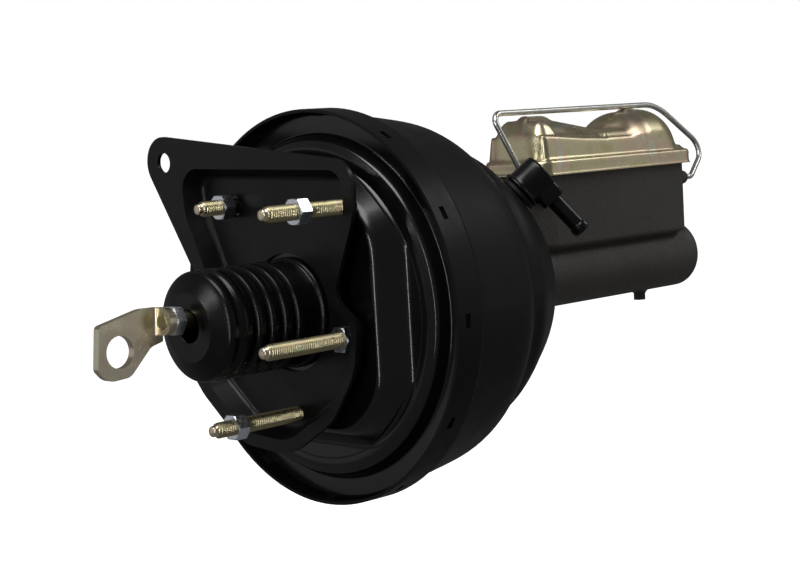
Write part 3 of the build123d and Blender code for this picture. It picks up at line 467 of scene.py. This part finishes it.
def lid_height(x, y):
    """The lid's top over its rim: low block, rear head, ridge, link, front dome, wire rests and rolled edge."""
    low_top = np.interp(y, (225, 243, 269, 293), (95.0, 93.8, 91.6, 90.4))
    low = LID_TOP + (low_top - LID_TOP) * shoulder(-rounded_box(x, y - 259.0, 24.0, 34.4, 8.0), 6.0, 2.3)
    head_inside = -rounded_box(x, y - 259.0, 24.0, 34.4, 10.0)
    head_inside = np.where(y <= 243.5, np.minimum(head_inside, 1.25 * np.maximum(243.5 - y, 0)), 0)
    head = LID_TOP + 28.6 * shoulder(head_inside, 15.0, 2.5)
    crest = np.interp(y, (225, 231, 237, 256, 306, 335), (92, 103, 105.6, 105.6, 97.0, 92.5))
    t = np.clip(np.abs(x) / 19.0, 0, 1)
    ridge = np.where((y > 226) & (y < 338), low_top + (crest - low_top) * (1 - t ** 2.2) ** 1.25, 0)
    link = LID_TOP + 17.6 * shoulder(-rounded_box(x, y - 318.0, 25.0, 25.0, 5.0), 7.0, 2.2)
    dy = np.maximum(np.abs(y - 347.5) - 10.5, 0)
    power = np.where(y < 337, 2.7, 2.15)
    reach = (np.abs(x / 27.6) ** power + np.abs(dy / 29.0) ** power) ** (1 / power)
    dome = LID_TOP + 31.0 * np.sqrt(np.clip(1 - reach ** 2, 0, 1))
    dome -= 1.1 / (1 + np.exp(np.clip((y - 344.0) / 0.5, -40, 40))) * np.clip((dome - 88) / 6, 0, 1)
    z = smooth_max(smooth_max(low, head, 5.0), ridge, 4.0)
    z = smooth_max(smooth_max(z, link, 2.0), dome, 3.0)
    rest = 2.6 * np.exp(-(x / 4.5) ** 4 - ((y - 245) / 13) ** 6) + 1.3 * np.exp(-(x / 5) ** 4 - ((y - 348) / 6) ** 4)
    z = np.minimum(z + rest * np.clip((z - 100) / 4, 0, 1), 109.4)
    rim = -rounded_box(x, y - TANK_MID, LID_HALF_X, LID_HALF_Y, LID_CORNER)
    flare = LID_TOP + 3.6 * np.clip((rim - 3.2) / 3.0, 0, 1) ** 2.0
    z = smooth_max(z, flare, 2.0)
    held = np.clip((rim - 2.2) / 2.6, 0, 1)
    held = held * held * (3 - 2 * held)
    bead = 0.9 * np.exp(-((rim - 1.6) / 1.0) ** 2)
    return LID_TOP + bead + (z - LID_TOP) * held


def blurred(grid, rounds):
    """Soften a height grid with a small binomial kernel, leaving its border as it is."""
    for _ in range(rounds):
        inner = grid.copy()
        inner[1:-1] = (grid[:-2] + 2 * grid[1:-1] + grid[2:]) / 4
        grid = inner.copy()
        grid[:, 1:-1] = (inner[:, :-2] + 2 * inner[:, 1:-1] + inner[:, 2:]) / 4
    return grid


def lid_half_width(y, inset):
    """Half the width at y of the lid's outline, moved in by inset."""
    t = np.clip(LID_HALF_Y - inset - np.abs(y - TANK_MID), 0, LID_CORNER - inset)
    corner = LID_CORNER - inset
    return LID_HALF_X - inset - corner + np.sqrt(np.maximum(corner ** 2 - (corner - t) ** 2, 0))


ROWS, COLUMNS = 361, 129
t = np.linspace(-1, 1, ROWS)
rows = TANK_MID + (LID_HALF_Y - ROLL) * np.sign(t) * (1 - (1 - np.abs(t)) ** 1.15)
y = np.repeat(rows[:, None], COLUMNS, 1)
x = np.linspace(-1, 1, COLUMNS)[None, :] * lid_half_width(rows, ROLL)[:, None]
z = blurred(lid_height(x, y), 6)
grid = np.stack((x, y, z), 2)
loop = ([(i, COLUMNS - 1) for i in range(ROWS)] + [(ROWS - 1, j) for j in range(COLUMNS - 2, -1, -1)]
        + [(i, 0) for i in range(ROWS - 2, -1, -1)] + [(0, j) for j in range(1, COLUMNS - 1)])
verts = grid.reshape(-1, 3).tolist()
faces = [
    (i * COLUMNS + j, i * COLUMNS + j + 1, (i + 1) * COLUMNS + j + 1, (i + 1) * COLUMNS + j)
    for i in range(ROWS - 1) for j in range(COLUMNS - 1)]
edge = np.array([grid[i, j] for i, j in loop])
inner_x = np.clip(edge[:, 0], -(LID_HALF_X - LID_CORNER), LID_HALF_X - LID_CORNER)
inner_y = np.clip(edge[:, 1], TANK_MID - LID_HALF_Y + LID_CORNER, TANK_MID + LID_HALF_Y - LID_CORNER)
out = np.stack((edge[:, 0] - inner_x, edge[:, 1] - inner_y), 1)
out /= np.linalg.norm(out, axis=1)[:, None]
section = [(ROLL * sin(a), -ROLL * (1 - cos(a))) for a in (pi / 8, pi / 4, 3 * pi / 8, pi / 2)]
drop = LID_TOP - LID_FOOT
section += [(ROLL - 0.15, -4.6), (ROLL - 0.1, -drop + 2.6), (ROLL + 0.25, -drop + 1.2), (ROLL + 0.9, -drop + 0.3),
            (ROLL + 0.7, -drop), (ROLL - 0.5, -drop), (ROLL - 1.4, -drop + 0.8), (ROLL - 1.5, -3.4), (ROLL - 6.0, -2.8)]
previous = [i * COLUMNS + j for i, j in loop]
for away, down in section:
    base = len(verts)
    for k in range(len(loop)):
        height = LID_TOP + (edge[k, 2] - LID_TOP) * max(0.0, 1 + down / ROLL)
        verts.append([edge[k, 0] + out[k, 0] * away, edge[k, 1] + out[k, 1] * away, height + down])
    ring = list(range(base, base + len(loop)))
    for k in range(len(loop)):
        m = (k + 1) % len(loop)
        faces.append((previous[k], previous[m], ring[m], ring[k]))
    previous = ring
lid = add_mesh("lid_pressing", verts, faces, lid_zinc, "lid")
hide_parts("reservoir_lid")

# Check valve: a moulded cap with a flange, the block at the root of its nipple, and the nipple with its bead.
valve_axis = Vector((0.49988397, 0.57071357, 0.65146147))
nipple_axis = Vector((0.47927565, 0.44423566, -0.7569343))
valve_seat = Vector((44.622, 173.5, 58.153))


def turned_on(origin, axis, side, line, around=64):
    """Rings about an axis through origin from (radius, height) points."""
    other = axis.cross(side)
    return [[tuple(origin + axis * h + (side * cos(2 * pi * k / around) + other * sin(2 * pi * k / around)) * r)
             for k in range(around)] for r, h in line]


NIPPLE_SEAT = 15.3
cap_line = cut_corners([
    (0.0, 3.5), (14.1, 3.5), (14.1, 6.0), (12.5, 6.3), (12.5, 22.0), (11.8, 23.6), (10.6, 24.0), (0.0, 24.0)], 2, 0.2)
hose_line = cut_corners([
    (5.4, 15.8), (5.4, 39.8), (5.6, 40.3), (6.15, 41.2), (6.2, 44.4), (5.6, 45.8), (4.9, 46.2), (3.9, 46.2),
    (3.2, 45.8), (3.2, 22.0), (0.0, 22.0)], 2, 0.2)
nipple_base = valve_seat + valve_axis * NIPPLE_SEAT
BLOCK_HALF_WIDTH, BLOCK_HALF_HEIGHT, BLOCK_POWER = 8.4, 8.6, 0.45


def block_ring(reach, shrink):
    """The root's section at reach from the valve's axis: a block with rounded corners, smaller by shrink."""
    side = valve_axis.cross(nipple_axis)
    line = []
    for k in range(48):
        a = 2 * pi * k / 48
        across = abs(cos(a)) ** BLOCK_POWER * (1 if cos(a) > 0 else -1) * (BLOCK_HALF_WIDTH - shrink)
        up = abs(sin(a)) ** BLOCK_POWER * (1 if sin(a) > 0 else -1) * (BLOCK_HALF_HEIGHT - shrink)
        line.append(tuple(nipple_base + nipple_axis * reach + side * across + valve_axis * (up - 0.1)))
    return line


root_block = [block_ring(reach, shrink) for reach, shrink in (
    (4.0, 8.39), (4.0, 0.6), (5.0, 0.0), (17.6, 0.0), (18.5, 0.5), (18.9, 1.4), (18.9, 8.39))]
valve_parts = (
    ("check_valve_cap", turned_on(valve_seat, valve_axis, nipple_axis, cap_line)),
    ("check_valve_root", root_block),
    ("check_valve_nipple", turned_on(nipple_base, nipple_axis, valve_axis, hose_line)))
for name, rings in valve_parts:
    verts, faces = sweep_rings(rings)
    piece = add_mesh(name, verts, faces, plastic, "vacuum_valve")
    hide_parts("check_valve")

# Bail: one bent wire, drawn as arcs and straight runs in the plane that holds its pins and its top.
WIRE_RADIUS = 2.0
BAIL_PIVOT, BAIL_TOP = Vector((20.0, 0.0, 57.0)), Vector((0.0, 0.0, 111.4))
BAIL_RISE = (BAIL_TOP - BAIL_PIVOT).length
bail_line = [
    ((226.1, 0), 0), ((217.0, 0), 4.5), ((202.0, BAIL_RISE), 7.0), ((384.0, BAIL_RISE), 34.0), ((424.0, 21.0), 12.0),
    ((397.0, 0), 6.5), ((383.9, 0), 0)]


def rounded_path(corners, step=0.12):
    """Points of a line through corners, each rounded by an arc of its own radius."""
    points = [Vector(corners[0][0])]
    for (a, _), (b, radius), (c, _) in zip(corners, corners[1:], corners[2:]):
        a, b, c = Vector(a), Vector(b), Vector(c)
        back, ahead = (a - b).normalized(), (c - b).normalized()
        half = back.angle(ahead) / 2
        centre = b + (back + ahead).normalized() * (radius / sin(half))
        begin, end = b + back * (radius / tan(half)) - centre, b + ahead * (radius / tan(half)) - centre
        sweep = begin.angle_signed(end)
        count = max(2, int(abs(sweep) / step))
        for i in range(count + 1):
            turn = sweep * i / count
            points.append(centre + Vector((
                begin.x * cos(turn) + begin.y * sin(turn), begin.y * cos(turn) - begin.x * sin(turn))))
    return points + [Vector(corners[-1][0])]


def tube(points, normal, radius, around=24):
    """A round tube along points that lie in the plane at right angles to normal, closed at both ends."""
    rings = []
    for i, p in enumerate(points):
        ahead = (points[min(i + 1, len(points) - 1)] - points[max(i - 1, 0)]).normalized()
        side = normal.cross(ahead)
        rings.append([tuple(p + (normal * cos(2 * pi * k / around) + side * sin(2 * pi * k / around)) * radius)
                      for k in range(around)])
    rings.insert(0, [tuple(points[0])] * around)
    rings.append([tuple(points[-1])] * around)
    return sweep_rings(rings)


rise = (BAIL_TOP - BAIL_PIVOT) / BAIL_RISE
path = [BAIL_PIVOT + Vector((0, p.x, 0)) + rise * p.y for p in rounded_path(bail_line)]
verts, faces = tube(path, Vector((0, 1, 0)).cross(rise), WIRE_RADIUS)
bail = add_mesh("bail_wire_bent", verts, faces, bail_steel, "bail")
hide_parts("bail_wire")

# Springs: wound as in the CAD; each row gives its body, its joint, its travel in mm and its held end (0 low y, 1 high
# y).
springs = (
    ("return_spring", "housing", "power_piston_slide", 28.5, 1),
    ("primary_spring", "primary", "primary_slide", 14.25, 0),
    ("secondary_spring", "housing", "secondary_slide", 14.25, 1),
    ("input_spring", "push_rod", "input_slide", 1.5, 0))
for name, body, joint, travel, held_end in springs:
    wound = bpy.data.objects.new(name + "_wound", nodes[name].data.copy())
    wound.matrix_world = nodes[name].matrix_world
    bpy.context.scene.collection.objects.link(wound)
    dress(wound, spring_steel)
    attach(wound, body)
    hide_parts(name)
    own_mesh(wound)

# Casting: the CAD body with the soft blends and the uneven skin of a sand casting.
source = nodes["master_cylinder_body"]
skin = bpy.data.objects.new("casting_skin", source.data.copy())
skin.matrix_world = source.matrix_world
bpy.context.scene.collection.objects.link(skin)
VOXEL = 0.9
remesh = skin.modifiers.new("blend", "REMESH")
remesh.mode = "VOXEL"
remesh.voxel_size = VOXEL * MM
soften = skin.modifiers.new("soften", "SMOOTH")
soften.factor = 0.5
soften.iterations = 7
depsgraph = bpy.context.evaluated_depsgraph_get()
mesh = bpy.data.meshes.new_from_object(skin.evaluated_get(depsgraph))
bpy.data.objects.remove(skin)
for polygon in mesh.polygons:
    polygon.use_smooth = True
casting = bpy.data.objects.new("casting_skin", mesh)
bpy.context.scene.collection.objects.link(casting)
mesh.materials.clear()
mesh.materials.append(iron)
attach(casting, "housing")
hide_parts("master_cylinder_body")

# ---------------------------------------------------------------- camera, light, floor
camera_data = bpy.data.cameras.new("camera")
camera = bpy.data.objects.new("camera", camera_data)
bpy.context.scene.collection.objects.link(camera)
# The camera's place and turn, solved from the photo's circles and the bracket's plane.
turn = Matrix((
    (0.7044702, -0.0311522, 0.7090496), (0.7074304, 0.1112404, -0.6979741), (-0.0571315, 0.9933051, 0.1004035)))
camera.matrix_world = Matrix.Translation(Vector((0.7903, -0.6707, 0.1126))) @ turn.to_4x4()
camera_data.sensor_fit = "HORIZONTAL"
camera_data.sensor_width = 36.0
camera_data.lens = 78.62
camera_data.clip_start = 0.02
camera_data.clip_end = 60.0
bpy.context.scene.camera = camera

FLOOR_HALF, FLOOR_HEIGHT = 30, -0.30
floor_mesh = bpy.data.meshes.new("floor")
floor_corners = [(FLOOR_HALF * a, FLOOR_HALF * b, 0) for a, b in ((-1, -1), (1, -1), (1, 1), (-1, 1))]
floor_mesh.from_pydata(floor_corners, [], [(0, 1, 2, 3)])
floor = bpy.data.objects.new("floor", floor_mesh)
floor.location = (0, 0, FLOOR_HEIGHT)
bpy.context.scene.collection.objects.link(floor)
floor.visible_glossy = False
floor.visible_diffuse = False
floor_mat = Mat("pale_floor")
floor_mat.colour((0.85, 0.85, 0.85))
floor_mat.rough(0.9)
floor_mat.set(Specular_IOR_Level=0.1, Emission_Strength=1.0, Emission_Color=(1, 1, 1, 1))
floor_mesh.materials.append(floor_mat.mat)

# The camera sees a white room; everything else is lit by a dim one and by the soft boxes.
world = bpy.data.worlds.new("studio")
bpy.context.scene.world = world
world.use_nodes = True
tree = world.node_tree
seen = tree.nodes["Background"]
seen.inputs["Color"].default_value = (1, 1, 1, 1)
seen.inputs["Strength"].default_value = 1.0
room = tree.nodes.new("ShaderNodeBackground")
room.inputs["Color"].default_value = (1, 1, 1, 1)
room.inputs["Strength"].default_value = 0.12
path = tree.nodes.new("ShaderNodeLightPath")
either = tree.nodes.new("ShaderNodeMixShader")
tree.links.new(path.outputs["Is Camera Ray"], either.inputs["Fac"])
tree.links.new(room.outputs["Background"], either.inputs[1])
tree.links.new(seen.outputs["Background"], either.inputs[2])
tree.links.new(either.outputs["Shader"], tree.nodes["World Output"].inputs["Surface"])


def softbox(name, place, target, width, height, power):
    """An area light in metres and watts, turned to face target."""
    data = bpy.data.lights.new(name, "AREA")
    data.shape = "RECTANGLE"
    data.size = width
    data.size_y = height
    data.energy = power
    lamp = bpy.data.objects.new(name, data)
    lamp.location = place
    lamp.rotation_mode = "QUATERNION"
    lamp.rotation_quaternion = (Vector(target) - Vector(place)).to_track_quat("-Z", "Y")
    bpy.context.scene.collection.objects.link(lamp)


middle = (0.0, 0.15, 0.0)
softbox("key", (0.2, -0.6, 1.6), middle, 1.2, 0.8, 18)
softbox("strip", (0.75, -1.85, 0.10), middle, 0.14, 1.7, 12)
softbox("window", (-0.56, -1.70, 0.68), (0.0, -0.05, 0.0), 0.42, 0.30, 4)
softbox("far_side", (1.6, 1.75, 0.25), middle, 1.8, 1.3, 2.2)
softbox("far_top", (0.9, 1.5, 1.2), middle, 0.6, 0.6, 5)
softbox("left", (-1.7, -1.5, 0.1), middle, 1.4, 1.4, 1.5)

view = bpy.context.scene.view_settings
view.view_transform = "Standard"
